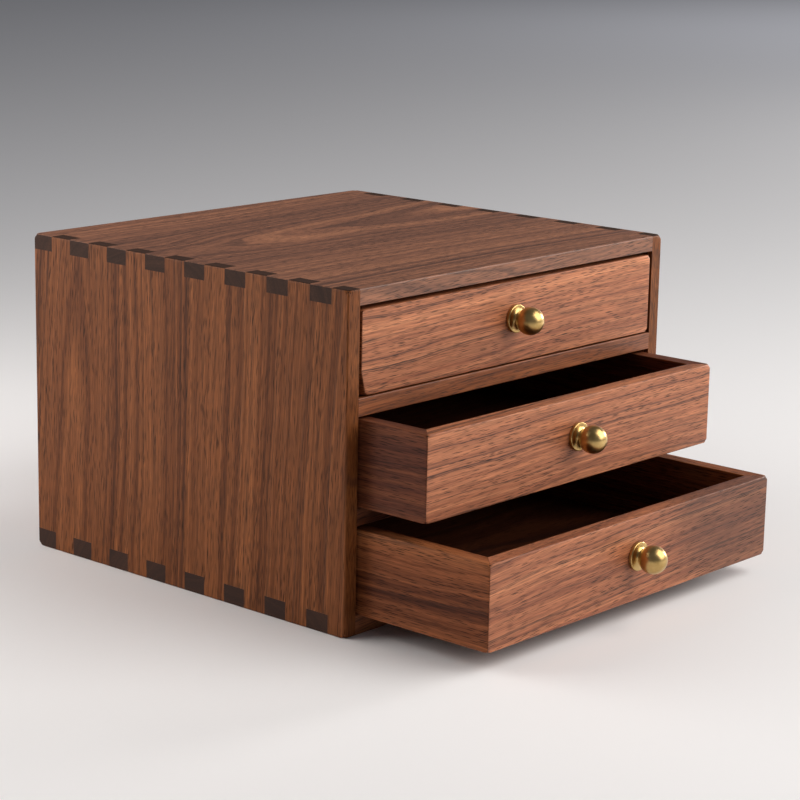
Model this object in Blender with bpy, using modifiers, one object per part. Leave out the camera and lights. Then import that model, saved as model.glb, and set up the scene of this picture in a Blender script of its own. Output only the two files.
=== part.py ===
"""Desktop chest of three drawers.

A finger-jointed walnut carcass holds three mitred walnut drawers, each with a turned brass knob.
Metres, +Z up. The origin is on the underside, at the middle of the carcass.
The front faces -Y, so the drawers open along -Y. Left is -X.
"""

import math

import bmesh
import bpy
from mathutils import Matrix

# Carcass, outside sizes
WIDTH = 0.277
DEPTH = 0.252
HEIGHT = 0.190

# Carcass boards
SIDE_BOARD = 0.009
TOP_BOARD = 0.009
BOTTOM_BOARD = 0.011
DIVIDER_BOARD = 0.010
CARCASS_EASE = 0.001          # radius on the outer arrises

# Through finger joints along the four long corners. The fingers are all one width except the front
# one, which belongs to the side board, as the back one belongs to the top or bottom board.
FINGER_WIDTH = 0.016
FRONT_FINGER = 0.012

# Back panel, held in grooves all round
BACK_PANEL = 0.004
BACK_INSET = 0.005            # rear edge of the sides to the panel's rear face
BACK_TONGUE = 0.003           # how far the panel reaches into each groove

# Dividers, held in housings that stop short of the front edge
DIVIDER_TONGUE = 0.003
HOUSING_STOP = 0.008
DIVIDER_EASE = 0.0006

# Drawers: name and how far each one stands open
DRAWERS = (("bottom", 0.091), ("middle", 0.047), ("top", 0.0))
DRAWER_SIDE_GAP = 0.0019
DRAWER_TOP_GAP = 0.0019
DRAWER_FRONT_BOARD = 0.010
DRAWER_SIDE_BOARD = 0.010
DRAWER_BACK_BOARD = 0.010
DRAWER_PANEL = 0.004
DRAWER_PANEL_RISE = 0.004     # lower edge of the boards to the underside of the panel
DRAWER_TONGUE = 0.004
DRAWER_EASE = 0.0008

# Knobs: a foot, a short neck and a ball, turned in one piece
KNOB_LENGTH = 0.0185
KNOB_BALL_RADIUS = 0.0080
KNOB_NECK_RADIUS = 0.0042
KNOB_FOOT_RADIUS = 0.0082
KNOB_FOOT_THICKNESS = 0.0018
KNOB_RIM = 0.0006             # round on the edge of the foot
KNOB_BORE_DEPTH = 0.0090
KNOB_RISE = 0.0018            # knob axis above the middle of the drawer front

# Machine screws that hold the knobs, driven from inside the drawers
SCREW_SHANK_RADIUS = 0.0020
SCREW_HEAD_RADIUS = 0.0040
SCREW_HEAD_HEIGHT = 0.0022
SCREW_GRIP = 0.0078           # length of shank inside the knob
SCREW_SLOT_WIDTH = 0.0010
SCREW_SLOT_DEPTH = 0.0010
SCREW_CHAMFER = 0.0005

GAP = 0.0003                  # between pieces that touch or rest on each other
OVERCUT = 0.002               # how far a cutter runs past the face that it opens
MERGE = 0.00001

KNOB_STEPS = 32
SCREW_STEPS = 24
EASE_SEGMENTS = 2

WALNUT = {"colour": "#7A4E3A", "roughness": 0.45, "metallic": 0.0}
WALNUT_DRAWER = {"colour": "#9C6A50", "roughness": 0.45, "metallic": 0.0}
BRASS = {"colour": "#C29A55", "roughness": 0.28, "metallic": 1.0}
STEEL = {"colour": "#A9A9A6", "roughness": 0.35, "metallic": 1.0}

# Places that several pieces share
INNER_HALF_WIDTH = WIDTH / 2 - SIDE_BOARD
INNER_TOP = HEIGHT - TOP_BOARD
FRONT = -DEPTH / 2
BACK_PANEL_FRONT = DEPTH / 2 - BACK_INSET - BACK_PANEL
BAY_HEIGHT = (INNER_TOP - BOTTOM_BOARD - (len(DRAWERS) - 1) * DIVIDER_BOARD) / len(DRAWERS)
BAY_PITCH = BAY_HEIGHT + DIVIDER_BOARD

DRAWER_HALF_WIDTH = INNER_HALF_WIDTH - DRAWER_SIDE_GAP
DRAWER_HEIGHT = BAY_HEIGHT - GAP - DRAWER_TOP_GAP
DRAWER_LENGTH = BACK_PANEL_FRONT - GAP - FRONT
MITRE_STEP = GAP * math.sqrt(2)   # shift along the board that leaves GAP across a 45 degree mitre
KNOB_HEIGHT = DRAWER_HEIGHT / 2 + KNOB_RISE
KNOB_BORE_RADIUS = SCREW_SHANK_RADIUS + GAP


def clear_scene():
    """Remove every object, so that the chest is all that the scene holds."""
    for thing in list(bpy.data.objects):
        bpy.data.objects.remove(thing)


def new_collection(name):
    collection = bpy.data.collections.new(name)
    bpy.context.scene.collection.children.link(collection)
    return collection


def linear_colour(code):
    """Turn an sRGB hex code into the linear RGBA that a shader socket takes."""
    channels = [int(code[i:i + 2], 16) / 255 for i in (1, 3, 5)]
    linear = [c / 12.92 if c <= 0.04045 else ((c + 0.055) / 1.055) ** 2.4 for c in channels]
    return (*linear, 1.0)


def finish(piece, look):
    """Give a piece a material of its own, in the colour and gloss of its finish."""
    material = bpy.data.materials.new(piece.name)
    material.use_nodes = True
    shader = material.node_tree.nodes["Principled BSDF"]
    shader.inputs["Base Color"].default_value = linear_colour(look["colour"])
    shader.inputs["Roughness"].default_value = look["roughness"]
    shader.inputs["Metallic"].default_value = look["metallic"]
    piece.data.materials.append(material)


def add_object(name, mesh, collection, place=(0.0, 0.0, 0.0), parent=None):
    piece = bpy.data.objects.new(name, mesh)
    piece.location = place
    piece.parent = parent
    collection.objects.link(piece)
    return piece


def box(name, low, high, parent=None):
    """Board between two opposite corners, with its origin at its middle."""
    size = [b - a for a, b in zip(low, high)]
    middle = [(a + b) / 2 for a, b in zip(low, high)]
    shape = bmesh.new()
    bmesh.ops.create_cube(shape, size=1.0, matrix=Matrix.Diagonal((*size, 1.0)))
    mesh = bpy.data.meshes.new(name)
    shape.to_mesh(mesh)
    shape.free()
    return add_object(name, mesh, parts, middle, parent)


def cutter(name, blocks, parent=None):
    """One cutter made of separate blocks, each given by two opposite corners."""
    shape = bmesh.new()
    for low, high in blocks:
        size = [b - a for a, b in zip(low, high)]
        middle = [(a + b) / 2 for a, b in zip(low, high)]
        place = Matrix.Translation(middle) @ Matrix.Diagonal((*size, 1.0))
        bmesh.ops.create_cube(shape, size=1.0, matrix=place)
    mesh = bpy.data.meshes.new(name)
    shape.to_mesh(mesh)
    shape.free()
    return hide_cutter(add_object(name, mesh, cutters, parent=parent))


def hide_cutter(tool):
    tool.hide_render = True
    tool.display_type = "WIRE"
    return tool


def grown(low, high, margin=GAP):
    """The corners of a box made larger by the margin on every side."""
    return [a - margin for a in low], [b + margin for b in high]


def cut(piece, *tools):
    for tool in tools:
        boolean = piece.modifiers.new(tool.name, "BOOLEAN")
        boolean.operation = "DIFFERENCE"
        boolean.solver = "EXACT"
        boolean.object = tool


def ease(piece, radius, wanted):
    """Round the edges whose middle, in the piece's own frame, passes the test."""
    mesh = piece.data
    weights = mesh.attributes.new("bevel_weight_edge", "FLOAT", "EDGE")
    for edge in mesh.edges:
        ends = [mesh.vertices[i].co for i in edge.vertices]
        weights.data[edge.index].value = 1.0 if wanted((ends[0] + ends[1]) / 2) else 0.0
    bevel = piece.modifiers.new("ease", "BEVEL")
    bevel.limit_method = "WEIGHT"
    bevel.width = radius
    bevel.segments = EASE_SEGMENTS


def turned(name, profile, steps, collection, place, parent):
    """Solid of revolution about -Y: the profile holds (radius, distance along the axis)."""
    mesh = bpy.data.meshes.new(name)
    points = [(radius, 0.0, along) for radius, along in profile]
    mesh.from_pydata(points, [(i, i + 1) for i in range(len(points) - 1)], [])
    piece = add_object(name, mesh, collection, place, parent)
    piece.rotation_euler = (math.pi / 2, 0.0, 0.0)
    screw = piece.modifiers.new("turn", "SCREW")
    screw.axis = "Z"
    screw.steps = steps
    screw.render_steps = steps
    screw.use_merge_vertices = True
    screw.merge_threshold = MERGE
    screw.use_smooth_shade = True
    return piece


def finger_joints():
    """Spans along Y of the fingers of the top and bottom boards, then of the side boards.

    Counted from the back, where the first finger belongs to the top or bottom board. The count
    before the front finger is odd, so that the front finger always belongs to the side board.
    """
    span = DEPTH - FRONT_FINGER
    count = 2 * round((span / FINGER_WIDTH - 1) / 2) + 1
    width = span / count
    edges = [DEPTH / 2 - i * width for i in range(count + 1)] + [FRONT]
    spans = list(zip(edges[1:], edges[:-1]))
    return spans[0::2], spans[1::2]


def opened_span(span):
    """A finger's socket: wider than the finger by the gap, and open where it meets an end."""
    low, high = span
    low -= OVERCUT if low <= FRONT + MERGE else GAP / 2
    high += OVERCUT if high >= DEPTH / 2 - MERGE else GAP / 2
    return low, high


def socket_cutters():
    """Cutters for the finger sockets of the side boards, and of the top and bottom boards."""
    panel_fingers, side_fingers = finger_joints()
    past = WIDTH / 2 + OVERCUT
    inner = INNER_HALF_WIDTH - GAP
    in_sides = []
    for low, high in map(opened_span, panel_fingers):
        in_sides.append(((-past, low, INNER_TOP - GAP), (past, high, HEIGHT + OVERCUT)))
        in_sides.append(((-past, low, -OVERCUT), (past, high, BOTTOM_BOARD + GAP)))
    in_panels = []
    for low, high in map(opened_span, side_fingers):
        in_panels.append(((-past, low, -OVERCUT), (-inner, high, HEIGHT + OVERCUT)))
        in_panels.append(((inner, low, -OVERCUT), (past, high, HEIGHT + OVERCUT)))
    return cutter("panel_finger_sockets", in_sides), cutter("side_finger_sockets", in_panels)


def make_back():
    """Thin back panel and the cutter for the grooves that hold it."""
    reach = INNER_HALF_WIDTH + BACK_TONGUE
    low = (-reach, BACK_PANEL_FRONT, BOTTOM_BOARD - BACK_TONGUE)
    high = (reach, BACK_PANEL_FRONT + BACK_PANEL, INNER_TOP + BACK_TONGUE)
    back = box("carcass_back", low, high)
    finish(back, WALNUT)
    return cutter("back_groove", [grown(low, high)])


def make_divider(name, underside):
    """Divider shelf with a tongue at each end, and the cutter for its housings."""
    reach = INNER_HALF_WIDTH + DIVIDER_TONGUE
    rear = BACK_PANEL_FRONT - GAP
    level = (underside, underside + DIVIDER_BOARD)
    divider = box(name, (-reach, FRONT, level[0]), (reach, rear, level[1]))
    ease(divider, DIVIDER_EASE, lambda middle: middle.y < 0 and abs(middle.z) > 0)
    shoulder = INNER_HALF_WIDTH - GAP
    stop = FRONT + HOUSING_STOP
    past = reach + OVERCUT
    notch_low = (FRONT - OVERCUT, level[0] - OVERCUT)
    notch_high = (stop + GAP, level[1] + OVERCUT)
    notches = cutter(name + "_notches", [
        ((-past, *notch_low), (-shoulder, *notch_high)),
        ((shoulder, *notch_low), (past, *notch_high)),
    ])
    cut(divider, notches)
    finish(divider, WALNUT)
    deep = reach + GAP
    return cutter(name + "_housings", [
        ((-deep, stop, level[0] - GAP), (deep, BACK_PANEL_FRONT, level[1] + GAP)),
    ])


def make_side(name, hand, tools):
    """Side board; hand is -1 on the left and 1 on the right."""
    outer, inner = hand * WIDTH / 2, hand * INNER_HALF_WIDTH
    low = (min(outer, inner), FRONT, 0.0)
    high = (max(outer, inner), DEPTH / 2, HEIGHT)
    side = box(name, low, high)
    ease(side, CARCASS_EASE, lambda middle: middle.x * hand > -SIDE_BOARD / 4)
    cut(side, *tools)
    finish(side, WALNUT)


def make_panel(name, low, high, outward, tools):
    """Top or bottom board; outward is 1 when its outer face looks up and -1 when it looks down."""
    panel = box(name, (-WIDTH / 2, FRONT, low), (WIDTH / 2, DEPTH / 2, high))
    ease(panel, CARCASS_EASE, lambda middle: middle.z * outward > -(high - low) / 4)
    cut(panel, *tools)
    finish(panel, WALNUT)


def make_carcass():
    panel_sockets, side_sockets = socket_cutters()
    back_groove = make_back()
    housings = []
    for index, name in enumerate(("divider_lower", "divider_upper")):
        housings.append(make_divider(name, BOTTOM_BOARD + BAY_HEIGHT + index * BAY_PITCH))
    for name, hand in (("carcass_side_left", -1), ("carcass_side_right", 1)):
        make_side(name, hand, (panel_sockets, back_groove, *housings))
    make_panel("carcass_bottom", 0.0, BOTTOM_BOARD, -1, (side_sockets, back_groove))
    make_panel("carcass_top", INNER_TOP, HEIGHT, 1, (side_sockets, back_groove))


def mitre(board, axis, inner_sign, setback):
    """Cut both ends of a board back on its inner face, so that it meets its neighbours in mitres.

    The board runs along the axis (0 for X, 1 for Y), and its inner face lies on the side that
    inner_sign gives along the other one.
    """
    across = 1 - axis
    for vertex in board.data.vertices:
        if vertex.co[across] * inner_sign > 0:
            vertex.co[axis] -= math.copysign(setback, vertex.co[axis])


def knob_profile():
    """Half section of a knob: down the ball, the neck and the foot, then up the screw's bore."""
    centre = KNOB_LENGTH - KNOB_BALL_RADIUS
    lowest = -math.acos(KNOB_NECK_RADIUS / KNOB_BALL_RADIUS)
    ball_points, cove_points, rim_points = 14, 4, 3
    profile = [(0.0, KNOB_LENGTH)]
    for i in range(1, ball_points + 1):
        angle = math.pi / 2 + (lowest - math.pi / 2) * i / ball_points
        radius = KNOB_BALL_RADIUS * math.cos(angle)
        profile.append((radius, centre + KNOB_BALL_RADIUS * math.sin(angle)))
    neck = centre + KNOB_BALL_RADIUS * math.sin(lowest)
    shoulder = KNOB_FOOT_RADIUS - KNOB_RIM
    for i in range(1, cove_points + 1):
        angle = math.pi / 2 * i / cove_points
        radius = shoulder - (shoulder - KNOB_NECK_RADIUS) * math.cos(angle)
        profile.append((radius, neck - (neck - KNOB_FOOT_THICKNESS) * math.sin(angle)))
    for i in range(1, rim_points + 1):
        angle = math.pi / 2 * (1 - i / rim_points)
        radius = shoulder + KNOB_RIM * math.cos(angle)
        profile.append((radius, KNOB_FOOT_THICKNESS - KNOB_RIM * (1 - math.sin(angle))))
    profile.append((KNOB_FOOT_RADIUS, 0.0))
    profile.append((KNOB_BORE_RADIUS, 0.0))
    profile.append((KNOB_BORE_RADIUS, KNOB_BORE_DEPTH))
    profile.append((0.0, KNOB_BORE_DEPTH))
    return profile


def screw_profile():
    """Half section of a screw: from the tip of the shank to the crown of its low, rounded head."""
    length = DRAWER_FRONT_BOARD + 2 * GAP + SCREW_GRIP
    profile = [
        (0.0, length),
        (SCREW_SHANK_RADIUS - SCREW_CHAMFER, length),
        (SCREW_SHANK_RADIUS, length - SCREW_CHAMFER),
        (SCREW_SHANK_RADIUS, 0.0),
    ]
    crown_points = 4
    for i in range(crown_points + 1):
        angle = math.pi / 2 * i / crown_points
        radius = SCREW_HEAD_RADIUS * math.cos(angle)
        profile.append((radius, -SCREW_HEAD_HEIGHT * math.sin(angle)))
    profile[-1] = (0.0, -SCREW_HEAD_HEIGHT)
    return profile


def make_knob(name, parent):
    """Knob on the drawer front, its screw, and the cutter for the screw's hole in the front."""
    knob = turned(name + "_knob", knob_profile(), KNOB_STEPS, parts,
                  (0.0, -GAP, KNOB_HEIGHT), parent)
    finish(knob, BRASS)

    seat = DRAWER_FRONT_BOARD + GAP
    screw = turned(name + "_screw", screw_profile(), SCREW_STEPS, parts,
                   (0.0, seat, KNOB_HEIGHT), parent)
    crown = seat + SCREW_HEAD_HEIGHT
    slot = cutter(name + "_screw_slot", [(
        (-SCREW_HEAD_RADIUS - OVERCUT, crown - SCREW_SLOT_DEPTH, KNOB_HEIGHT - SCREW_SLOT_WIDTH / 2),
        (SCREW_HEAD_RADIUS + OVERCUT, crown + OVERCUT, KNOB_HEIGHT + SCREW_SLOT_WIDTH / 2),
    )], parent)
    cut(screw, slot)
    finish(screw, STEEL)

    past = DRAWER_FRONT_BOARD + OVERCUT
    hole = [(0.0, past), (KNOB_BORE_RADIUS, past), (KNOB_BORE_RADIUS, -OVERCUT), (0.0, -OVERCUT)]
    return hide_cutter(turned(name + "_screw_hole", hole, SCREW_STEPS, cutters,
                              (0.0, DRAWER_FRONT_BOARD, KNOB_HEIGHT), parent))


def make_drawer(label, place):
    """Drawer about an empty at the lower middle of its front face, where its slide's axis runs."""
    name = "drawer_" + label
    runner = bpy.data.objects.new(name + "_slide", None)
    runner.location = place
    parts.objects.link(runner)

    half, length, height = DRAWER_HALF_WIDTH, DRAWER_LENGTH, DRAWER_HEIGHT
    inner_half = half - DRAWER_SIDE_BOARD
    inner_front = DRAWER_FRONT_BOARD
    inner_back = length - DRAWER_BACK_BOARD

    panel_low = (-inner_half - DRAWER_TONGUE, inner_front - DRAWER_TONGUE, DRAWER_PANEL_RISE)
    panel_high = (inner_half + DRAWER_TONGUE, inner_back + DRAWER_TONGUE,
                  DRAWER_PANEL_RISE + DRAWER_PANEL)
    bottom = box(name + "_bottom", panel_low, panel_high, runner)
    finish(bottom, WALNUT_DRAWER)
    groove = cutter(name + "_groove", [grown(panel_low, panel_high)], runner)
    screw_hole = make_knob(name, runner)

    front = box(name + "_front", (-half, 0.0, 0.0), (half, inner_front, height), runner)
    mitre(front, 0, 1, DRAWER_SIDE_BOARD)
    ease(front, DRAWER_EASE, lambda middle: middle.y < 0 and abs(middle.z) > height / 4)
    cut(front, groove, screw_hole)

    back = box(name + "_back", (-half, inner_back, 0.0), (half, length, height), runner)
    mitre(back, 0, -1, DRAWER_SIDE_BOARD)
    ease(back, DRAWER_EASE, lambda middle: middle.y > 0 and abs(middle.z) > height / 4)
    cut(back, groove)

    sides = []
    for side_name, hand in (("_side_left", -1), ("_side_right", 1)):
        outer, inner = hand * half, hand * inner_half
        low = (min(outer, inner), MITRE_STEP, 0.0)
        high = (max(outer, inner), length - MITRE_STEP, height)
        side = box(name + side_name, low, high, runner)
        mitre(side, 1, -hand, DRAWER_FRONT_BOARD)
        ease(side, DRAWER_EASE,
             lambda middle, hand=hand: middle.x * hand > 0 and abs(middle.z) > height / 4)
        cut(side, groove)
        sides.append(side)

    for board in (front, back, *sides):
        finish(board, WALNUT_DRAWER)


def make_drawers():
    for index, (label, open_by) in enumerate(DRAWERS):
        make_drawer(label, (0.0, FRONT - open_by, BOTTOM_BOARD + GAP + index * BAY_PITCH))


clear_scene()
parts = new_collection("desktop_drawer_chest")
cutters = new_collection("chest_cutters")
make_carcass()
make_drawers()
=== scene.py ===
from math import cos, pi, radians, sin

import bpy
import numpy as np
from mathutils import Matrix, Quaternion, Vector


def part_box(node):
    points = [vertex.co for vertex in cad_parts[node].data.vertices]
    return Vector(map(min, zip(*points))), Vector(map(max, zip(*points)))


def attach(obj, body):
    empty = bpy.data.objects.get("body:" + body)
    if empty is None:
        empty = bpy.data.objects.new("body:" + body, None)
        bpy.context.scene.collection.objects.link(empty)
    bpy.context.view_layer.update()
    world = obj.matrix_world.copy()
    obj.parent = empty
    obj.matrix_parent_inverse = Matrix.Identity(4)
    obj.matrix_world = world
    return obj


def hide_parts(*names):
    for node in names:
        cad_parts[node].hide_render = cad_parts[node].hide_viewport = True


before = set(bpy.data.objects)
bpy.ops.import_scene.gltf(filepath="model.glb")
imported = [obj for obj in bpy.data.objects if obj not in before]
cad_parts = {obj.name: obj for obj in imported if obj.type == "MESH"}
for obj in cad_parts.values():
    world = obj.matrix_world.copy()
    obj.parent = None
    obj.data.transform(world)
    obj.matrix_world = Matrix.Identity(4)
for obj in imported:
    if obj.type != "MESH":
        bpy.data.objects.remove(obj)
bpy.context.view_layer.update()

# ---------------------------------------------------------------------------------------------
# Camera: a long lens from the left of the front corner, a little above the chest, rolled by a
# degree. It looks at a point just in front of the carcass's middle.
# ---------------------------------------------------------------------------------------------
camera_aim = Vector((0.0201, -0.0227, 0.0892))
camera_azimuth = radians(48.5)
camera_elevation = radians(13.0)
camera_roll = radians(1.1)
camera_distance = 1.450

camera_data = bpy.data.cameras.new("camera")
camera_data.lens = 108.05
camera_data.sensor_width = 36.0
camera = bpy.data.objects.new("camera", camera_data)
bpy.context.scene.collection.objects.link(camera)
camera_back = Vector((
    -sin(camera_azimuth) * cos(camera_elevation),
    -cos(camera_azimuth) * cos(camera_elevation),
    sin(camera_elevation),
))
camera.location = camera_aim + camera_back * camera_distance
camera.rotation_mode = "QUATERNION"
level = (-camera_back).to_track_quat("-Z", "Y")
camera.rotation_quaternion = level @ Quaternion((0.0, 0.0, 1.0), camera_roll)
bpy.context.scene.camera = camera

# ---------------------------------------------------------------------------------------------
# Carcass sides: two boards of black walnut, grain upright. Their ends are cut into fingers that
# pass right through the top and bottom boards, glued, planed flush and sanded with eased arrises.
# Inside they have a groove for the back panel and stopped housings for the dividers.
# ---------------------------------------------------------------------------------------------
arris = 0.0010                # radius on the carcass's outer arrises
corner_round = 0.0030         # the corners are rubbed rounder than the arrises
corner_between = 0.0021       # a lattice line between the end of the arris and of the corner
flat_margin = 0.0004          # a line just past a round, which keeps the flat's shading flat
finger_width = 0.0160
front_finger = 0.0120         # the side's finger at the front
glue_line = 0.00002           # what shows between two boards planed flush
housing_stop = 0.0080         # the housings end this far behind the front edge

side_low, side_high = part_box("carcass_side_left")
top_low, top_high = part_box("carcass_top")
bottom_low, bottom_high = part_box("carcass_bottom")
back_low, back_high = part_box("carcass_back")
carcass_low = np.array((top_low[0], top_low[1], bottom_low[2]))
carcass_high = np.array((top_high[0], top_high[1], top_high[2]))
side_thickness = side_high[0] - side_low[0]
inner_half_width = carcass_high[0] - side_thickness
front_edge = carcass_low[1]
rear_edge = carcass_high[1]


def new_piece(name, points, faces, smooth_below=35.0):
    """A mesh object from an (n, 3) array of points and a list of (m, k) arrays of face corners.

    The sum of the tetrahedra from the origin to each face is the enclosed volume: where it comes
    out negative the faces look inwards, and all are turned round.
    """
    volume = 0.0
    for group in faces:
        for i in range(1, group.shape[1] - 1):
            a, b, c = points[group[:, 0]], points[group[:, i]], points[group[:, i + 1]]
            volume += np.einsum("ij,ij->", a, np.cross(b, c))
    if volume < 0:
        faces = [group[:, ::-1] for group in faces]
    corners = np.concatenate([group.ravel() for group in faces])
    sizes = np.concatenate([np.full(len(group), group.shape[1]) for group in faces])
    mesh = bpy.data.meshes.new(name)
    mesh.vertices.add(len(points))
    mesh.vertices.foreach_set("co", points.ravel())
    mesh.loops.add(len(corners))
    mesh.loops.foreach_set("vertex_index", corners.astype(np.int32))
    mesh.polygons.add(len(sizes))
    mesh.polygons.foreach_set("loop_start", (np.cumsum(sizes) - sizes).astype(np.int32))
    mesh.update(calc_edges=True)
    mesh.validate()
    mesh.shade_smooth()
    mesh.set_sharp_from_angle(angle=radians(smooth_below))
    piece = bpy.data.objects.new(name, mesh)
    bpy.context.scene.collection.objects.link(piece)
    return piece


def rounding_offsets(radius):
    """Distances from an arris where a flat face needs lines, so that the round gets equal facets.

    A line at distance r (1 - tan a) from the arris ends up at angle a on the round. The last line
    lies just past the round.
    """
    angles = np.radians([45.0, 30.0, 15.0, 0.0])
    return np.append(radius * (1 - np.tan(angles)), radius + flat_margin)


def rounded(points, low, high, radius, axes=(0, 1, 2)):
    """Draw the points of a box's border in from the square section to the round one.

    What a point reaches past the box shrunk by the radius is scaled by its largest component over
    its length, which turns squares round the shrunk box into circles.
    """
    axes = list(axes)
    low, high = np.array(low)[axes] + radius, np.array(high)[axes] - radius
    core = np.clip(points[:, axes], low, high)
    reach = points[:, axes] - core
    largest = np.abs(reach).max(axis=1)
    length = np.linalg.norm(reach, axis=1)
    scale = np.where(length > 0, largest / np.maximum(length, 1e-12), 1.0)
    result = points.copy()
    result[:, axes] = core + reach * scale[:, None]
    return result


def rubbed(points, low, high, edge_radius, corner_radius):
    """Round the arrises of a box to one radius, and fade to a larger one at its eight corners."""
    eased = rounded(points, low, high, edge_radius)
    soft = rounded(points, low, high, corner_radius)
    border = np.minimum(points - low, high - points)
    nearness = np.clip(1 - border.max(axis=1) / corner_radius, 0.0, 1.0)
    return eased + (soft - eased) * nearness[:, None]


def joiner_board(name, low, high, cuts, lines, shape):
    """A board with square cuts: the surface of a solid given on a rectangular lattice.

    Lines along X, Y and Z, at the board's faces, at the cuts' faces and where asked, divide the
    board's box into cells. A cell is wood unless its middle lies in a cut. The surface is every
    cell wall with wood on one side only, and shape then moves all its points at once.
    """
    faces_at = np.array([low, high, *[corner for cut in cuts for corner in cut]])
    grid = []
    for axis in range(3):
        at = np.concatenate([faces_at[:, axis], np.asarray(lines[axis], float)])
        at = at[(at >= low[axis]) & (at <= high[axis])]
        grid.append(np.unique(at.round(7)))
    middles = np.meshgrid(*[(at[1:] + at[:-1]) / 2 for at in grid], indexing="ij")
    wood = np.ones(middles[0].shape, bool)
    for cut_low, cut_high in cuts:
        inside = [(m > a) & (m < b) for m, a, b in zip(middles, cut_low, cut_high)]
        wood &= ~(inside[0] & inside[1] & inside[2])
    step = np.array([len(grid[1]) * len(grid[2]), len(grid[2]), 1])
    solid = np.pad(wood, 1).astype(int)
    quads = []
    for axis in range(3):
        change = np.diff(solid, axis=axis)
        across = step[(axis + 1) % 3], step[(axis + 2) % 3]
        for sign in (-1, 1):
            cell = np.argwhere(change == sign) - 1
            cell[:, axis] += 1
            first = cell @ step
            ring = [first, first + across[0], first + across[0] + across[1], first + across[1]]
            quads.append(np.stack(ring[::-sign], axis=1))
    used, quads = np.unique(np.concatenate(quads), return_inverse=True)
    lattice = np.unravel_index(used, [len(at) for at in grid])
    points = np.stack([at[index] for at, index in zip(grid, lattice)], axis=1)
    return new_piece(name, shape(points), [quads.reshape(-1, 4)])


def finger_spans():
    """Y spans of the top and bottom boards' fingers, then of the side boards' fingers.

    They are laid out from the back edge. An odd number of equal fingers comes before the front
    one, so the front finger is the side's.
    """
    span = rear_edge - front_edge - front_finger
    count = 2 * round((span / finger_width - 1) / 2) + 1
    edges = np.append(rear_edge - np.arange(count + 1) * span / count, front_edge)
    spans = np.stack([edges[1:], edges[:-1]], axis=1)
    return spans[0::2], spans[1::2]


def carcass_lines():
    """Lattice lines that the rounding of the carcass's arrises and corners needs, per axis."""
    offsets = np.append(rounding_offsets(arris), [corner_between, corner_round])
    return [np.concatenate([a + offsets, b - offsets]) for a, b in zip(carcass_low, carcass_high)]


def carcass_shape(points):
    """Every carcass board is rounded as part of the whole carcass, so neighbours stay flush."""
    return rubbed(points, carcass_low, carcass_high, arris, corner_round)


def wider(low, high, margin):
    """The corners of a box that is larger by the margin on every side."""
    return np.array(low) - margin, np.array(high) + margin


panel_fingers, side_fingers = finger_spans()
past = 0.01                   # how far a cut runs out of the wood

side_cuts = [wider(back_low, back_high, glue_line)]
for name in ("divider_lower", "divider_upper"):
    low, high = wider(*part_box(name), glue_line)
    low[1], high[1] = front_edge + housing_stop, back_low[1]
    side_cuts.append((low, high))
for low_y, high_y in panel_fingers:
    low_y, high_y = low_y - glue_line, high_y + glue_line
    high_y += past if high_y > rear_edge else 0.0
    for low_z, high_z in ((top_low[2], top_high[2] + past), (-past, bottom_high[2])):
        side_cuts.append(((-1.0, low_y, low_z - glue_line), (1.0, high_y, high_z + glue_line)))

carcass_sides = {}
for side_name in ("carcass_side_left", "carcass_side_right"):
    low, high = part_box(side_name)
    board = joiner_board(side_name + "_board", low, high, side_cuts, carcass_lines(), carcass_shape)
    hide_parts(side_name)
    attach(board, "carcass")
    carcass_sides[side_name] = board


def linear(code):
    """An sRGB hex colour as the linear RGBA that a shader takes."""
    channels = np.array([int(code[i:i + 2], 16) for i in (1, 3, 5)]) / 255
    line = np.where(channels <= 0.04045, channels / 12.92, ((channels + 0.055) / 1.055) ** 2.4)
    return (*line.tolist(), 1.0)


def add_node(tree, kind, inputs, **settings):
    """Add a shader node, apply its settings, and give each input a value or a link."""
    node = tree.nodes.new("ShaderNode" + kind)
    for key, value in settings.items():
        setattr(node, key, value)
    for socket, value in inputs.items():
        if isinstance(value, bpy.types.NodeSocket):
            tree.links.new(value, node.inputs[socket])
        else:
            node.inputs[socket].default_value = value
    return node


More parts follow.
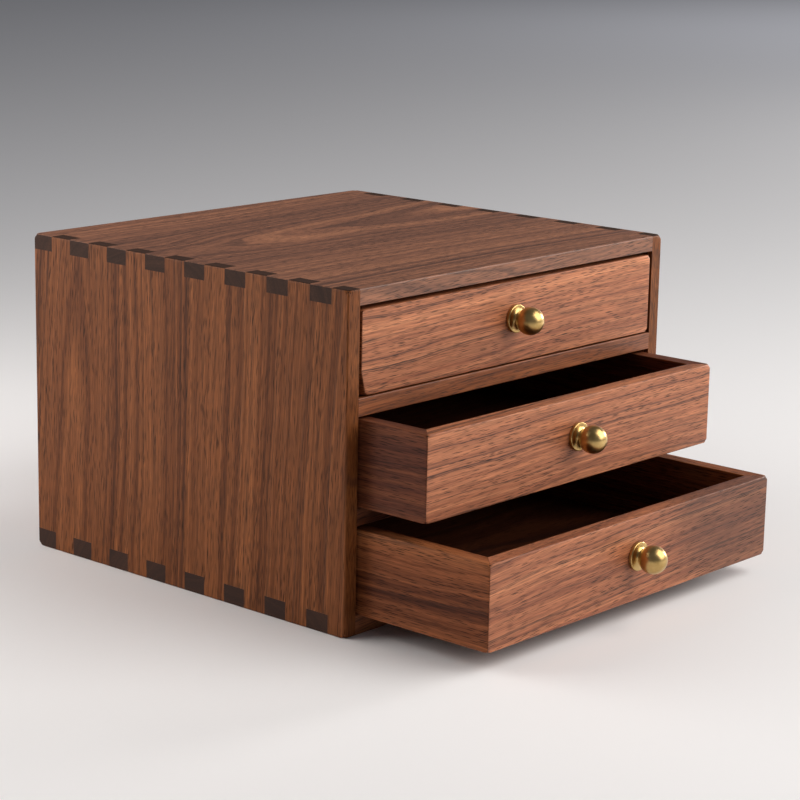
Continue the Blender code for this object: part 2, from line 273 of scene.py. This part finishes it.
def black_walnut(name, turn, pith, tones, streak=0.6, seed=0.0, sheen=0.36, dark_end=None):
    """Oiled black walnut, planed and sanded: a satin surface that keeps its open pores.

    Turn brings the grain onto X. The pith then lies along X through the given point, so growth
    rings are cylinders round it, and a board's face shows them as the saw met them: straight
    where it cuts across them and as tongues where it is tangent to them. To the eye it gives warm
    brown bands with purple-black pigment streaks, short dark pores along the grain, and end grain
    that the oil turned nearly black. Tones are the bands' colours from dark to light, streak is
    how dark the streaks get, and dark_end is where along the grain a darker zone starts and ends.
    """
    ring_width = 0.0042
    slow_bend = 0.022         # how far the log's slow waves push a ring
    quick_bend = 0.0024       # and its quick ones
    fibre = 0.0006            # drawn coarser than the real 0.1 mm so that it shows
    pore_width = 0.0007       # a dark pore and the wood beside it; real ones are 0.2 mm wide
    pore_length = 0.0110
    material = bpy.data.materials.new(name)
    material.use_nodes = True
    tree = material.node_tree
    shader = tree.nodes["Principled BSDF"]
    shader.inputs["Specular IOR Level"].default_value = sheen
    place = add_node(tree, "TexCoord", {})
    log = add_node(tree, "Mapping", {
        "Vector": place.outputs["Object"],
        "Rotation": [radians(angle) for angle in turn],
        "Location": [-value for value in pith],
    }).outputs["Vector"]

    # Rings: distance from the pith, bent by slow and quick waves that run long with the grain.
    # Narrow bands and broad zones of colour follow them.
    across = add_node(tree, "VectorMath", {0: log, 1: (0.0, 1.0, 1.0)}, operation="MULTIPLY")
    radius = add_node(tree, "VectorMath", {0: across.outputs[0]}, operation="LENGTH")
    slow = add_node(tree, "VectorMath", {0: log, 1: (4.0, 14.0, 14.0)}, operation="MULTIPLY")
    slow_noise = add_node(tree, "TexNoise", {
        "Vector": slow.outputs[0], "W": seed, "Scale": 1.0, "Detail": 2.0,
    }, noise_dimensions="4D")
    quick = add_node(tree, "VectorMath", {0: log, 1: (22.0, 90.0, 90.0)}, operation="MULTIPLY")
    quick_noise = add_node(tree, "TexNoise", {
        "Vector": quick.outputs[0], "W": seed, "Scale": 1.0, "Detail": 2.0,
    }, noise_dimensions="4D")
    bent = add_node(tree, "Math", {
        0: slow_noise.outputs["Fac"], 1: slow_bend, 2: radius.outputs["Value"],
    }, operation="MULTIPLY_ADD")
    ring_place = add_node(tree, "Math", {
        0: quick_noise.outputs["Fac"], 1: quick_bend, 2: bent.outputs[0],
    }, operation="MULTIPLY_ADD")
    ring = add_node(tree, "Math", {0: ring_place.outputs[0], 1: 1 / ring_width},
                    operation="MULTIPLY")
    bands = add_node(tree, "TexNoise", {
        "W": ring.outputs[0], "Scale": 1.0, "Detail": 3.0, "Roughness": 0.6,
    }, noise_dimensions="1D")
    zone_place = add_node(tree, "Math", {0: ring.outputs[0], 1: 0.17, 2: seed},
                          operation="MULTIPLY_ADD")
    zones = add_node(tree, "TexNoise", {
        "W": zone_place.outputs[0], "Scale": 1.0, "Detail": 1.0,
    }, noise_dimensions="1D")
    tone = add_node(tree, "Mix", {
        0: 0.42, 2: bands.outputs["Fac"], 3: zones.outputs["Fac"],
    }, data_type="FLOAT")
    ramp = add_node(tree, "ValToRGB", {"Fac": tone.outputs[0]})
    while len(ramp.color_ramp.elements) < len(tones):
        ramp.color_ramp.elements.new(0.5)
    for element, (position, code) in zip(ramp.color_ramp.elements, tones):
        element.position = position
        element.color = linear(code)
    colour = ramp.outputs["Color"]

    # Pigment streaks: thin dark lines that follow some of the rings and come and go along them.
    line_place = add_node(tree, "Math", {0: ring.outputs[0], 1: 1.7, 2: seed + 7.0},
                          operation="MULTIPLY_ADD")
    line_noise = add_node(tree, "TexNoise", {
        "W": line_place.outputs[0], "Scale": 1.0, "Detail": 2.0, "Roughness": 0.7,
    }, noise_dimensions="1D")
    line = add_node(tree, "MapRange", {
        "Value": line_noise.outputs["Fac"], "From Min": 0.60, "From Max": 0.70,
    }, interpolation_type="SMOOTHSTEP")
    presence = add_node(tree, "MapRange", {
        "Value": slow_noise.outputs["Fac"], "From Min": 0.35, "From Max": 0.65,
        "To Min": 0.25, "To Max": streak,
    })
    streaks = add_node(tree, "Math", {0: line.outputs[0], 1: presence.outputs[0]},
                       operation="MULTIPLY")
    colour = add_node(tree, "Mix", {
        0: streaks.outputs[0], 6: colour, 7: linear("#2E1D18"),
    }, data_type="RGBA").outputs[2]

    # A dark end: past a distance along the grain the heartwood shades to purple-brown in clouds.
    if dark_end:
        log_x = add_node(tree, "SeparateXYZ", {0: log})
        reach = add_node(tree, "Math", {
            0: slow_noise.outputs["Fac"], 1: 0.12, 2: log_x.outputs["X"],
        }, operation="MULTIPLY_ADD")
        cloud = add_node(tree, "MapRange", {
            "Value": reach.outputs[0], "From Min": dark_end[0] + 0.06,
            "From Max": dark_end[1] + 0.06, "To Max": 0.62,
        }, interpolation_type="SMOOTHSTEP")
        colour = add_node(tree, "Mix", {
            0: cloud.outputs[0], 6: colour, 7: linear("#43291F"),
        }, data_type="RGBA").outputs[2]

    # Fibres: fine light and dark threads along the grain.
    threads = add_node(tree, "VectorMath", {
        0: log, 1: (0.012 / fibre, 1 / fibre, 1 / fibre),
    }, operation="MULTIPLY")
    fibres = add_node(tree, "TexNoise", {
        "Vector": threads.outputs[0], "Scale": 1.0, "Detail": 3.0, "Roughness": 0.65,
    })
    fibre_shade = add_node(tree, "MapRange", {
        "Value": fibres.outputs["Fac"], "From Min": 0.30, "From Max": 0.70,
        "To Min": 0.48, "To Max": 1.40,
    })

    # Pores: short dark dashes along the grain, dots on the end grain. Each is a stretched cell of
    # scattered points, and they crowd together and thin out with the waves of the grain.
    vessels = add_node(tree, "VectorMath", {
        0: log, 1: (1 / pore_length, 1 / pore_width, 1 / pore_width),
    }, operation="MULTIPLY")
    pores = add_node(tree, "TexVoronoi", {"Vector": vessels.outputs[0], "Scale": 1.0})
    dash = add_node(tree, "MapRange", {
        "Value": pores.outputs["Distance"], "From Min": 0.40, "From Max": 0.16,
    }, interpolation_type="SMOOTHSTEP")
    crowding = add_node(tree, "MapRange", {
        "Value": quick_noise.outputs["Fac"], "From Min": 0.35, "From Max": 0.60,
        "To Min": 0.45, "To Max": 1.0,
    })
    pore = add_node(tree, "Math", {0: dash.outputs[0], 1: crowding.outputs[0]},
                    operation="MULTIPLY")
    pore_shade = add_node(tree, "MapRange", {
        "Value": pore.outputs[0], "To Min": 1.12, "To Max": 0.10,
    })
    shade = add_node(tree, "Math", {0: fibre_shade.outputs[0], 1: pore_shade.outputs[0]},
                     operation="MULTIPLY").outputs[0]
    grey = add_node(tree, "CombineColor", {0: shade, 1: shade, 2: shade})
    colour = add_node(tree, "Mix", {
        0: 1.0, 6: colour, 7: grey.outputs[0],
    }, data_type="RGBA", blend_type="MULTIPLY").outputs[2]

    # End grain drinks the oil: where the surface faces along the grain it is darker and duller.
    facing = add_node(tree, "Mapping", {
        "Vector": place.outputs["Normal"], "Rotation": [radians(angle) for angle in turn],
    })
    along = add_node(tree, "SeparateXYZ", {0: facing.outputs[0]})
    either_way = add_node(tree, "Math", {0: along.outputs["X"]}, operation="ABSOLUTE")
    end = add_node(tree, "MapRange", {
        "Value": either_way.outputs[0], "From Min": 0.55, "From Max": 0.85,
    }, interpolation_type="SMOOTHSTEP")
    end_colour = add_node(tree, "Mix", {
        0: 0.90, 6: colour, 7: linear("#2B1D17"),
    }, data_type="RGBA").outputs[2]
    colour = add_node(tree, "Mix", {0: end.outputs[0], 6: colour, 7: end_colour},
                      data_type="RGBA").outputs[2]
    tree.links.new(colour, shader.inputs["Base Color"])

    # Pores are duller than the planed wood, and end grain is nearly matt.
    dulled = add_node(tree, "Math", {0: pore.outputs[0], 1: 0.4, 2: end.outputs[0]},
                      operation="MULTIPLY_ADD")
    gloss = add_node(tree, "MapRange", {
        "Value": dulled.outputs[0], "To Min": 0.42, "To Max": 0.90,
    })
    tree.links.new(gloss.outputs[0], shader.inputs["Roughness"])
    relief = add_node(tree, "Math", {
        0: fibres.outputs["Fac"], 1: pore.outputs[0],
    }, operation="SUBTRACT")
    bump = add_node(tree, "Bump", {
        "Height": relief.outputs[0], "Strength": 0.25, "Distance": 0.0001,
    })
    tree.links.new(bump.outputs[0], shader.inputs["Normal"])
    return material


# Colours from dark late wood to light early wood. The sides are browner than the shelves, and
# darker: painted shade for the sides that face away from the key light.
walnut_tones = [(0.22, "#3F1C0D"), (0.42, "#6A391F"), (0.56, "#864D2D"), (0.78, "#9C613A")]
side_tones_with_painted_shade = [(0.22, "#361A0C"), (0.41, "#633619"), (0.55, "#7D4926"), (0.80, "#945B35")]

# Both sides stand with the grain upright, cut nearest to the middle of the log at the back edge.
upright = (0.0, 88.6, 3.0)
side_left_walnut = black_walnut("walnut_side_left", upright, (0.0, 0.098, 0.118),
                                side_tones_with_painted_shade, seed=1.3, sheen=0.14)
side_right_walnut = black_walnut("walnut_side_right", upright, (0.3, 0.060, -0.180),
                                 side_tones_with_painted_shade, seed=4.1, sheen=0.14)
carcass_sides["carcass_side_left"].data.materials.append(side_left_walnut)
carcass_sides["carcass_side_right"].data.materials.append(side_right_walnut)

# ---------------------------------------------------------------------------------------------
# Top and bottom boards: walnut with the grain from side to side. Their end grain shows on the
# sides as a row of dark squares, between the side boards' own fingers.
# ---------------------------------------------------------------------------------------------
panel_cuts = [wider(back_low, back_high, glue_line)]
for low_y, high_y in side_fingers:
    low_y, high_y = low_y - glue_line, high_y + glue_line
    low_y -= past if low_y < front_edge else 0.0
    for low_x, high_x in ((-1.0, -inner_half_width), (inner_half_width, 1.0)):
        panel_cuts.append(((low_x - glue_line, low_y, -1.0), (high_x + glue_line, high_y, 1.0)))

# The top's tones are lighter and greyer than the shelves', as painted sheen: the glancing
# reflection of the grey backdrop on the top.
top_tones_with_painted_sheen = [(0.20, "#3F2519"), (0.40, "#6C4532"), (0.56, "#905E43"), (0.78, "#A87150")]
top_walnut = black_walnut("walnut_top", (0.0, 3.0, -2.0), (0.0, 0.026, 0.140),
                          top_tones_with_painted_sheen, streak=0.6, seed=2.2)
bottom_walnut = black_walnut("walnut_bottom", (0.0, 2.0, 1.0), (0.5, -0.040, -0.070),
                             walnut_tones, seed=8.4)
for panel_name, walnut in (("carcass_top", top_walnut), ("carcass_bottom", bottom_walnut)):
    low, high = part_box(panel_name)
    board = joiner_board(panel_name + "_board", low, high, panel_cuts, carcass_lines(),
                         carcass_shape)
    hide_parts(panel_name)
    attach(board, "carcass")
    board.data.materials.append(walnut)

# ---------------------------------------------------------------------------------------------
# Dividers and back panel: two shelves in stopped housings, notched round the front of each side,
# with an eased front edge, and a thin walnut panel held in grooves all round.
# ---------------------------------------------------------------------------------------------
shelf_arris = 0.0005
for index, name in enumerate(("divider_lower", "divider_upper")):
    low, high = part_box(name)
    notches = []
    notch_end = front_edge + housing_stop + glue_line
    shoulder = inner_half_width - glue_line
    for low_x, high_x in ((-1.0, -shoulder), (shoulder, 1.0)):
        notches.append(((low_x, -1.0, -1.0), (high_x, notch_end, 1.0)))
    offsets = rounding_offsets(shelf_arris)
    lines = [[], low[1] + offsets, np.concatenate([low[2] + offsets, high[2] - offsets])]
    reach_high = (high[0], high[1] + 1.0, high[2])
    shelf = joiner_board(
        name + "_board", low, high, notches, lines,
        lambda points: rounded(points, low, reach_high, shelf_arris, axes=(1, 2)))
    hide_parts(name)
    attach(shelf, "carcass")
    shelf.data.materials.append(black_walnut(
        "walnut_" + name, (0.0, 1.5, 1.0), (0.2 * index, 0.05, low[2] - 0.12), walnut_tones,
        seed=3.0 + index))

back_walnut = black_walnut("walnut_back", (0.0, 2.0, 1.5), (0.1, 0.060, 0.060), walnut_tones,
                           seed=6.6)
back_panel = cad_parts["carcass_back"]
back_panel.data.materials.clear()
back_panel.data.materials.append(back_walnut)

# ---------------------------------------------------------------------------------------------
# Drawer boxes: front, sides and back are one walnut moulding with eased arrises and a groove for
# the bottom, mitred and glued at all four corners, so the figure runs round each drawer.
# ---------------------------------------------------------------------------------------------
drawer_arris = 0.0006
drawer_corner = 0.0024
drawer_between = 0.0016       # a lattice line between the end of the arris and of the corner
rim_arris = 0.0005            # on the inner arrises
mitre_line = 0.00006          # the open line where two boards meet in a mitre
pared_height = 0.014          # the top drawer's lower left corner is pared away this far up,
pared_along = 0.020           # this far along the front
pared_back = 0.030            # and this far back,
pared_width = 0.0034          # by this much
fitted_depth = 0.004          # an edge that is planed or eased is reshaped down to this depth
planed_off = 0.0010           # its top edge is planed down this much at the left end
eased_sole = 0.0006           # and its front's lower edge is eased to slide over the shelf


def arc(middle, radius, start, stop, steps=5):
    """Points on an arc, angles in degrees."""
    angles = np.radians(np.linspace(start, stop, steps))
    return [(middle[0] + radius * cos(a), middle[1] + radius * sin(a)) for a in angles]


def drawer_section(thickness, height, groove_low, groove_high, groove_depth):
    """Section of a drawer board as (depth from the outer face, height) points.

    A rectangle with points near its outer corners, which are rounded later together with the
    drawer's other arrises, round inner corners, and a square groove for the bottom.
    """
    near = np.append(rounding_offsets(drawer_arris)[1:], [drawer_between, drawer_corner])
    near = np.sort(near)
    inner, flat = rim_arris, flat_margin
    right = thickness - inner
    section = [(0.0, 0.0)]
    section += [(0.0, z) for z in (*near, pared_height / 2, pared_height)]
    section += [(0.0, height - z) for z in near[::-1]]
    section += [(0.0, height)]
    section += [(x, height) for x in (*near, right - flat)]
    section += arc((right, height - inner), inner, 90, 0)
    section += [
        (thickness, height - inner - flat),
        (thickness, groove_high), (thickness - groove_depth, groove_high),
        (thickness - groove_depth, groove_low), (thickness, groove_low),
        (thickness, inner + flat),
    ]
    section += arc((right, inner), inner, 0, -90)
    section += [(x, 0.0) for x in (right - flat, *near[::-1])]
    return np.array(section)


def mitred_board(name, section, length, shortening, place):
    """The section carried along a straight board and mitred at both ends.

    At distance s from the middle of the outer face, a section point at depth d lies at
    s (1 - 2 d k / length), where k is how much shorter the board gets per depth at each end, so
    the last section lies in the mitre plane. Place turns (along, depth, height) into the drawer.
    """
    offsets = np.append(rounding_offsets(drawer_arris), [drawer_between, drawer_corner])
    ends = length / 2 - np.sort(offsets)[::-1]
    stations = np.concatenate([-ends[::-1], np.linspace(-0.45, 0.45, 9) * length, ends])
    stations = np.sort(stations)
    depth = section[:, 0]
    along = stations[:, None] * (1 - 2 * depth * shortening / length)
    points = np.stack([along, np.broadcast_to(depth, along.shape),
                       np.broadcast_to(section[:, 1], along.shape)], axis=-1)
    count, size = along.shape
    ids = np.arange(count * size).reshape(count, size)
    around = np.roll(ids, -1, axis=1)
    skin = np.stack([ids[:-1], ids[1:], around[1:], around[:-1]], axis=-1).reshape(-1, 4)
    caps = [ids[0][None, ::-1], ids[-1][None]]
    return new_piece(name, place(points.reshape(-1, 3)), [skin[:, ::-1], *caps])


# The fronts are the lightest wood in the chest. The middle drawer's walls and all the drawers'
# bottoms get darkened tones, which are painted shade: the shadow of the carcass's front corner on
# the middle drawer's side, and the dark inside the drawers.
drawer_tones = [(0.20, "#5C3221"), (0.38, "#8F5438"), (0.58, "#AC6C49"), (0.76, "#C07E57")]
painted_shade_tones = [(0.22, "#2D150C"), (0.42, "#52291A"), (0.56, "#673822"), (0.78, "#7A472C")]

for index, drawer in enumerate(("drawer_bottom", "drawer_middle", "drawer_top")):
    front_low, front_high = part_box(drawer + "_front")
    rear_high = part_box(drawer + "_back")[1]
    wall_low, wall_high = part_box(drawer + "_side_left")
    floor_low, floor_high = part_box(drawer + "_bottom")
    low = np.array(front_low)
    high = np.array((front_high[0], rear_high[1], front_high[2]))
    height = high[2] - low[2]
    front_thickness = front_high[1] - front_low[1]
    wall_thickness = wall_high[0] - wall_low[0]
    groove = (floor_low[2] - low[2] - glue_line, floor_high[2] - low[2] + glue_line)
    middle = (low + high) / 2

    def seated(points):
        """Round the drawer's outer arrises and corners, and fit the top drawer by hand.

        Its lower left corner is moved in, less and less up the front, along it and back from it.
        Its top edge is lowered, more towards the left, and its front's lower edge is raised.
        """
        eased = rubbed(points, low, high, drawer_arris, drawer_corner)
        if drawer == "drawer_top":
            up = np.clip(1 - (points[:, 2] - low[2]) / pared_height, 0, 1)
            along = np.clip(1 - (points[:, 0] - low[0]) / pared_along, 0, 1)
            back = np.clip(1 - (points[:, 1] - low[1]) / pared_back, 0, 1)
            eased[:, 0] += pared_width * up * along * back
            rim = np.clip(1 - (high[2] - points[:, 2]) / fitted_depth, 0, 1)
            leftwards = (high[0] - points[:, 0]) / (high[0] - low[0])
            eased[:, 2] -= planed_off * rim * (0.3 + 0.7 * leftwards)
            sole = np.clip(1 - (points[:, 2] - low[2]) / fitted_depth, 0, 1)
            eased[:, 2] += eased_sole * sole * back
        return eased

    # Each of the next four turns a board's own (along, depth, up) into X, Y and Z of the drawer.
    def across_front(points):
        along, depth, up = points.T
        return seated(np.stack([along, low[1] + depth, low[2] + up], axis=1))

    def across_rear(points):
        along, depth, up = points.T
        return seated(np.stack([along, high[1] - depth, low[2] + up], axis=1))

    def along_left(points):
        along, depth, up = points.T
        return seated(np.stack([low[0] + depth, middle[1] + along, low[2] + up], axis=1))

    def along_right(points):
        along, depth, up = points.T
        return seated(np.stack([high[0] - depth, middle[1] + along, low[2] + up], axis=1))

    crosswise = drawer_section(front_thickness, height, *groove,
                               front_thickness - (floor_low[1] - low[1]))
    lengthwise = drawer_section(wall_thickness, height, *groove,
                                wall_thickness - (floor_low[0] - low[0]))
    wide = high[0] - low[0] - 2 * mitre_line
    deep = high[1] - low[1] - 2 * mitre_line
    # The grain runs along each board, a little off it, and most on the bottom drawer's front.
    with_x = (0.0, 1.5, 1.0)
    with_y = (0.0, 0.0, -89.0)
    front_turn = (0.0, 4.0, 1.0) if drawer == "drawer_bottom" else with_x
    # Painted shade: the middle drawer's walls take the darkened tones for the shadow that the
    # carcass's front corner throws on them.
    wall_tones = painted_shade_tones if drawer == "drawer_middle" else walnut_tones
    boards = (
        ("_front", crosswise, wide, wall_thickness / front_thickness, across_front, front_turn,
         (0.3 * index, low[1] - 0.09, low[2] - 0.10), drawer_tones),
        ("_back", crosswise, wide, wall_thickness / front_thickness, across_rear, with_x,
         (0.2 * index, high[1] + 0.09, low[2] - 0.10), drawer_tones),
        ("_side_left", lengthwise, deep, front_thickness / wall_thickness, along_left, with_y,
         (0.1 * index, -low[0] + 0.05, low[2] + 0.10), wall_tones),
        ("_side_right", lengthwise, deep, front_thickness / wall_thickness, along_right, with_y,
         (0.15 * index, -high[0] - 0.05, low[2] + 0.10), wall_tones),
    )
    for board_name, section, length, shortening, place, turn, pith, tones in boards:
        name = drawer + board_name
        board = mitred_board(name + "_board", section, length, shortening, place)
        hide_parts(name)
        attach(board, drawer)
        board.data.materials.append(black_walnut(
            "walnut_" + name, turn, pith, tones, streak=0.75, seed=10.0 + 3.7 * index,
            sheen=0.14 if turn == with_y else 0.30,
            dark_end=(0.02, 0.09) if name == "drawer_bottom_front" else None))

    # Painted shade: each drawer's bottom takes the darkened tones for the dark inside the drawer.
    floor_walnut_painted_shade = black_walnut("walnut_" + drawer + "_bottom", with_x,
                                (0.1, middle[1], low[2] - 0.05), painted_shade_tones, seed=5.0 + index)
    drawer_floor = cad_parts[drawer + "_bottom"]
    drawer_floor.data.materials.clear()
    drawer_floor.data.materials.append(floor_walnut_painted_shade)

# ---------------------------------------------------------------------------------------------
# Knobs: solid brass, turned in one piece with a foot, a short neck and a ball, and polished to a
# satin on the lathe. A steel screw from inside the drawer holds each one.
# ---------------------------------------------------------------------------------------------
ball_radius = 0.0080
neck_radius = 0.0042
foot_thickness = 0.0018
foot_rim = 0.0006


def knob_section(length, foot_radius):
    """Half section as (radius, distance from the drawer front), from the ball's tip to the foot.

    The ball is an arc down to the neck, a quarter ellipse is the cove from the neck to the foot's
    face, and a small quarter round ends the foot.
    """
    centre = length - ball_radius
    lowest = -np.arccos(neck_radius / ball_radius)
    angles = np.linspace(pi / 2, lowest, 48)
    ball = np.stack([ball_radius * np.cos(angles), centre + ball_radius * np.sin(angles)], axis=1)
    neck = ball[-1, 1]
    shoulder = foot_radius - foot_rim
    angles = np.linspace(0, pi / 2, 13)[1:]
    cove = np.stack([
        shoulder - (shoulder - neck_radius) * np.cos(angles),
        neck - (neck - foot_thickness) * np.sin(angles),
    ], axis=1)
    angles = np.linspace(pi / 2, 0, 7)[1:]
    rim = np.stack([
        shoulder + foot_rim * np.cos(angles),
        foot_thickness - foot_rim * (1 - np.sin(angles)),
    ], axis=1)
    foot = np.array([[foot_radius, 0.0], [0.0, 0.0]])
    ball[0, 0] = 0.0
    return np.concatenate([ball, cove, rim, foot])


def turned_piece(name, section, centre, steps=96):
    """The half section carried round an axis that points along -Y through the centre.

    The section starts and ends on the axis, where all its turns share one point.
    """
    turns = np.arange(steps) * 2 * pi / steps
    radius, out = section[1:-1].T
    rows = np.stack([
        centre[0] + radius[:, None] * np.cos(turns),
        np.broadcast_to(centre[1] - out[:, None], (len(radius), steps)),
        centre[2] + radius[:, None] * np.sin(turns),
    ], axis=-1)
    tips = [(centre[0], centre[1] - section[i, 1], centre[2]) for i in (0, -1)]
    points = np.concatenate([rows.reshape(-1, 3), np.array(tips)])
    ids = np.arange(len(radius) * steps).reshape(len(radius), steps)
    nxt = np.roll(ids, -1, axis=1)
    skin = np.stack([ids[:-1], ids[1:], nxt[1:], nxt[:-1]], axis=-1).reshape(-1, 4)
    first, last = ids.size, ids.size + 1
    fans = np.concatenate([
        np.stack([np.full(steps, first), ids[0], nxt[0]], axis=1),
        np.stack([np.full(steps, last), nxt[-1], ids[-1]], axis=1),
    ])
    return new_piece(name, points, [skin, fans], smooth_below=50.0)


def satin_brass():
    """Turned brass, satin polished: a warm yellow metal with soft reflections.

    Fine marks of the lathe run round it, too fine to see one by one, so they are drawn at half a
    millimetre and only spread the light a little.
    """
    material = bpy.data.materials.new("satin_brass")
    material.use_nodes = True
    tree = material.node_tree
    shader = tree.nodes["Principled BSDF"]
    shader.inputs["Metallic"].default_value = 1.0
    place = add_node(tree, "TexCoord", {})
    marks = add_node(tree, "VectorMath", {
        0: place.outputs["Object"], 1: (250.0, 2500.0, 250.0),
    }, operation="MULTIPLY")
    lathe = add_node(tree, "TexNoise", {"Vector": marks.outputs[0], "Scale": 1.0, "Detail": 2.0})
    tarnish = add_node(tree, "TexNoise", {
        "Vector": place.outputs["Object"], "Scale": 180.0, "Detail": 3.0,
    })
    patches = add_node(tree, "MapRange", {
        "Value": tarnish.outputs["Fac"], "From Min": 0.3, "From Max": 0.7,
    })
    colour = add_node(tree, "Mix", {
        0: patches.outputs[0], 6: linear("#B29259"), 7: linear("#CFAF74"),
    }, data_type="RGBA").outputs[2]
    tree.links.new(colour, shader.inputs["Base Color"])
    gloss = add_node(tree, "MapRange", {
        "Value": lathe.outputs["Fac"], "To Min": 0.26, "To Max": 0.36,
    })
    tree.links.new(gloss.outputs[0], shader.inputs["Roughness"])
    bump = add_node(tree, "Bump", {
        "Height": lathe.outputs["Fac"], "Strength": 0.08, "Distance": 0.0001,
    })
    tree.links.new(bump.outputs[0], shader.inputs["Normal"])
    return material


def plated_steel():
    """Zinc-plated screw steel: a cool grey metal, slightly mottled."""
    material = bpy.data.materials.new("zinc_plated_steel")
    material.use_nodes = True
    tree = material.node_tree
    shader = tree.nodes["Principled BSDF"]
    shader.inputs["Metallic"].default_value = 1.0
    shader.inputs["Roughness"].default_value = 0.38
    place = add_node(tree, "TexCoord", {})
    mottle = add_node(tree, "TexNoise", {
        "Vector": place.outputs["Object"], "Scale": 900.0, "Detail": 3.0,
    })
    patches = add_node(tree, "MapRange", {
        "Value": mottle.outputs["Fac"], "From Min": 0.3, "From Max": 0.7,
    })
    colour = add_node(tree, "Mix", {
        0: patches.outputs[0], 6: linear("#8E8F8E"), 7: linear("#B4B5B2"),
    }, data_type="RGBA").outputs[2]
    tree.links.new(colour, shader.inputs["Base Color"])
    return material


brass = satin_brass()
steel = plated_steel()
for drawer in ("drawer_bottom", "drawer_middle", "drawer_top"):
    low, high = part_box(drawer + "_knob")
    section = knob_section(high[1] - low[1], (high[0] - low[0]) / 2)
    centre = ((low[0] + high[0]) / 2, high[1], (low[2] + high[2]) / 2)
    knob = turned_piece(drawer + "_knob_brass", section, centre)
    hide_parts(drawer + "_knob")
    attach(knob, drawer)
    knob.data.materials.append(brass)
    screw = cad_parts[drawer + "_screw"]
    screw.data.materials.clear()
    screw.data.materials.append(steel)

# ---------------------------------------------------------------------------------------------
# Studio: a wide pale floor that falls off into grey behind the chest, a large soft key light from
# the front right, a window low on the right, a weak fill from behind the left side, two lights
# that hang over the far floor for the background, and a dim even surround.
# ---------------------------------------------------------------------------------------------
floor_half = 12.0
floor_grid = np.linspace(-floor_half, floor_half, 5)
floor_x, floor_y = np.meshgrid(floor_grid, floor_grid, indexing="ij")
floor_points = np.stack([floor_x, floor_y, np.zeros_like(floor_x)], axis=-1).reshape(-1, 3)
floor_ids = np.arange(25).reshape(5, 5)
floor_quads = np.stack([
    floor_ids[:-1, :-1], floor_ids[1:, :-1], floor_ids[1:, 1:], floor_ids[:-1, 1:],
], axis=-1).reshape(-1, 4)
floor = new_piece("floor", floor_points, [floor_quads])
floor_paint = bpy.data.materials.new("matt_white_floor")
floor_paint.use_nodes = True
floor_shader = floor_paint.node_tree.nodes["Principled BSDF"]
floor_shader.inputs["Base Color"].default_value = linear("#F8F7F7")
floor_shader.inputs["Roughness"].default_value = 0.6
floor.data.materials.append(floor_paint)


def softbox(name, place, target, size, watts, colour):
    """Square area light at a place, facing the target."""
    data = bpy.data.lights.new(name, "AREA")
    data.shape = "RECTANGLE"
    data.size, data.size_y = size
    data.energy = watts
    data.color = linear(colour)[:3]
    light = bpy.data.objects.new(name, data)
    light.location = place
    light.rotation_euler = (Vector(target) - Vector(place)).to_track_quat("-Z", "Y").to_euler()
    bpy.context.scene.collection.objects.link(light)


def round_the_chest(azimuth, elevation, distance):
    """Place at an azimuth from straight in front, positive to the right, and an elevation."""
    across, up = radians(azimuth), radians(elevation)
    return chest_middle + distance * Vector((
        sin(across) * cos(up), -cos(across) * cos(up), sin(up)))


chest_middle = Vector((0.0, -0.05, 0.09))
softbox("key", round_the_chest(34, 35, 1.5), chest_middle, (1.4, 1.4), 23.6, "#FFFCF8")
softbox("window", round_the_chest(78, 12, 3.5), chest_middle, (0.8, 0.8), 56.0, "#FFFCFA")
softbox("fill", round_the_chest(-138, 26, 0.8), chest_middle, (0.8, 0.8), 5.4, "#FFF9F4")
softbox("background", (4.5, 1.5, 1.6), (4.5, 1.5, 0.0), (1.8, 1.8), 14.5, "#F4F6FF")
softbox("backdrop", (-0.4, 2.2, 1.0), (-0.4, 2.2, 0.0), (1.8, 1.8), 2.1, "#F4F6FF")

world = bpy.data.worlds.new("studio")
world.use_nodes = True
surround = world.node_tree.nodes["Background"]
surround.inputs["Color"].default_value = linear("#F4F6FF")
surround.inputs["Strength"].default_value = 0.125
bpy.context.scene.world = world
bpy.context.scene.view_settings.view_transform = "Standard"
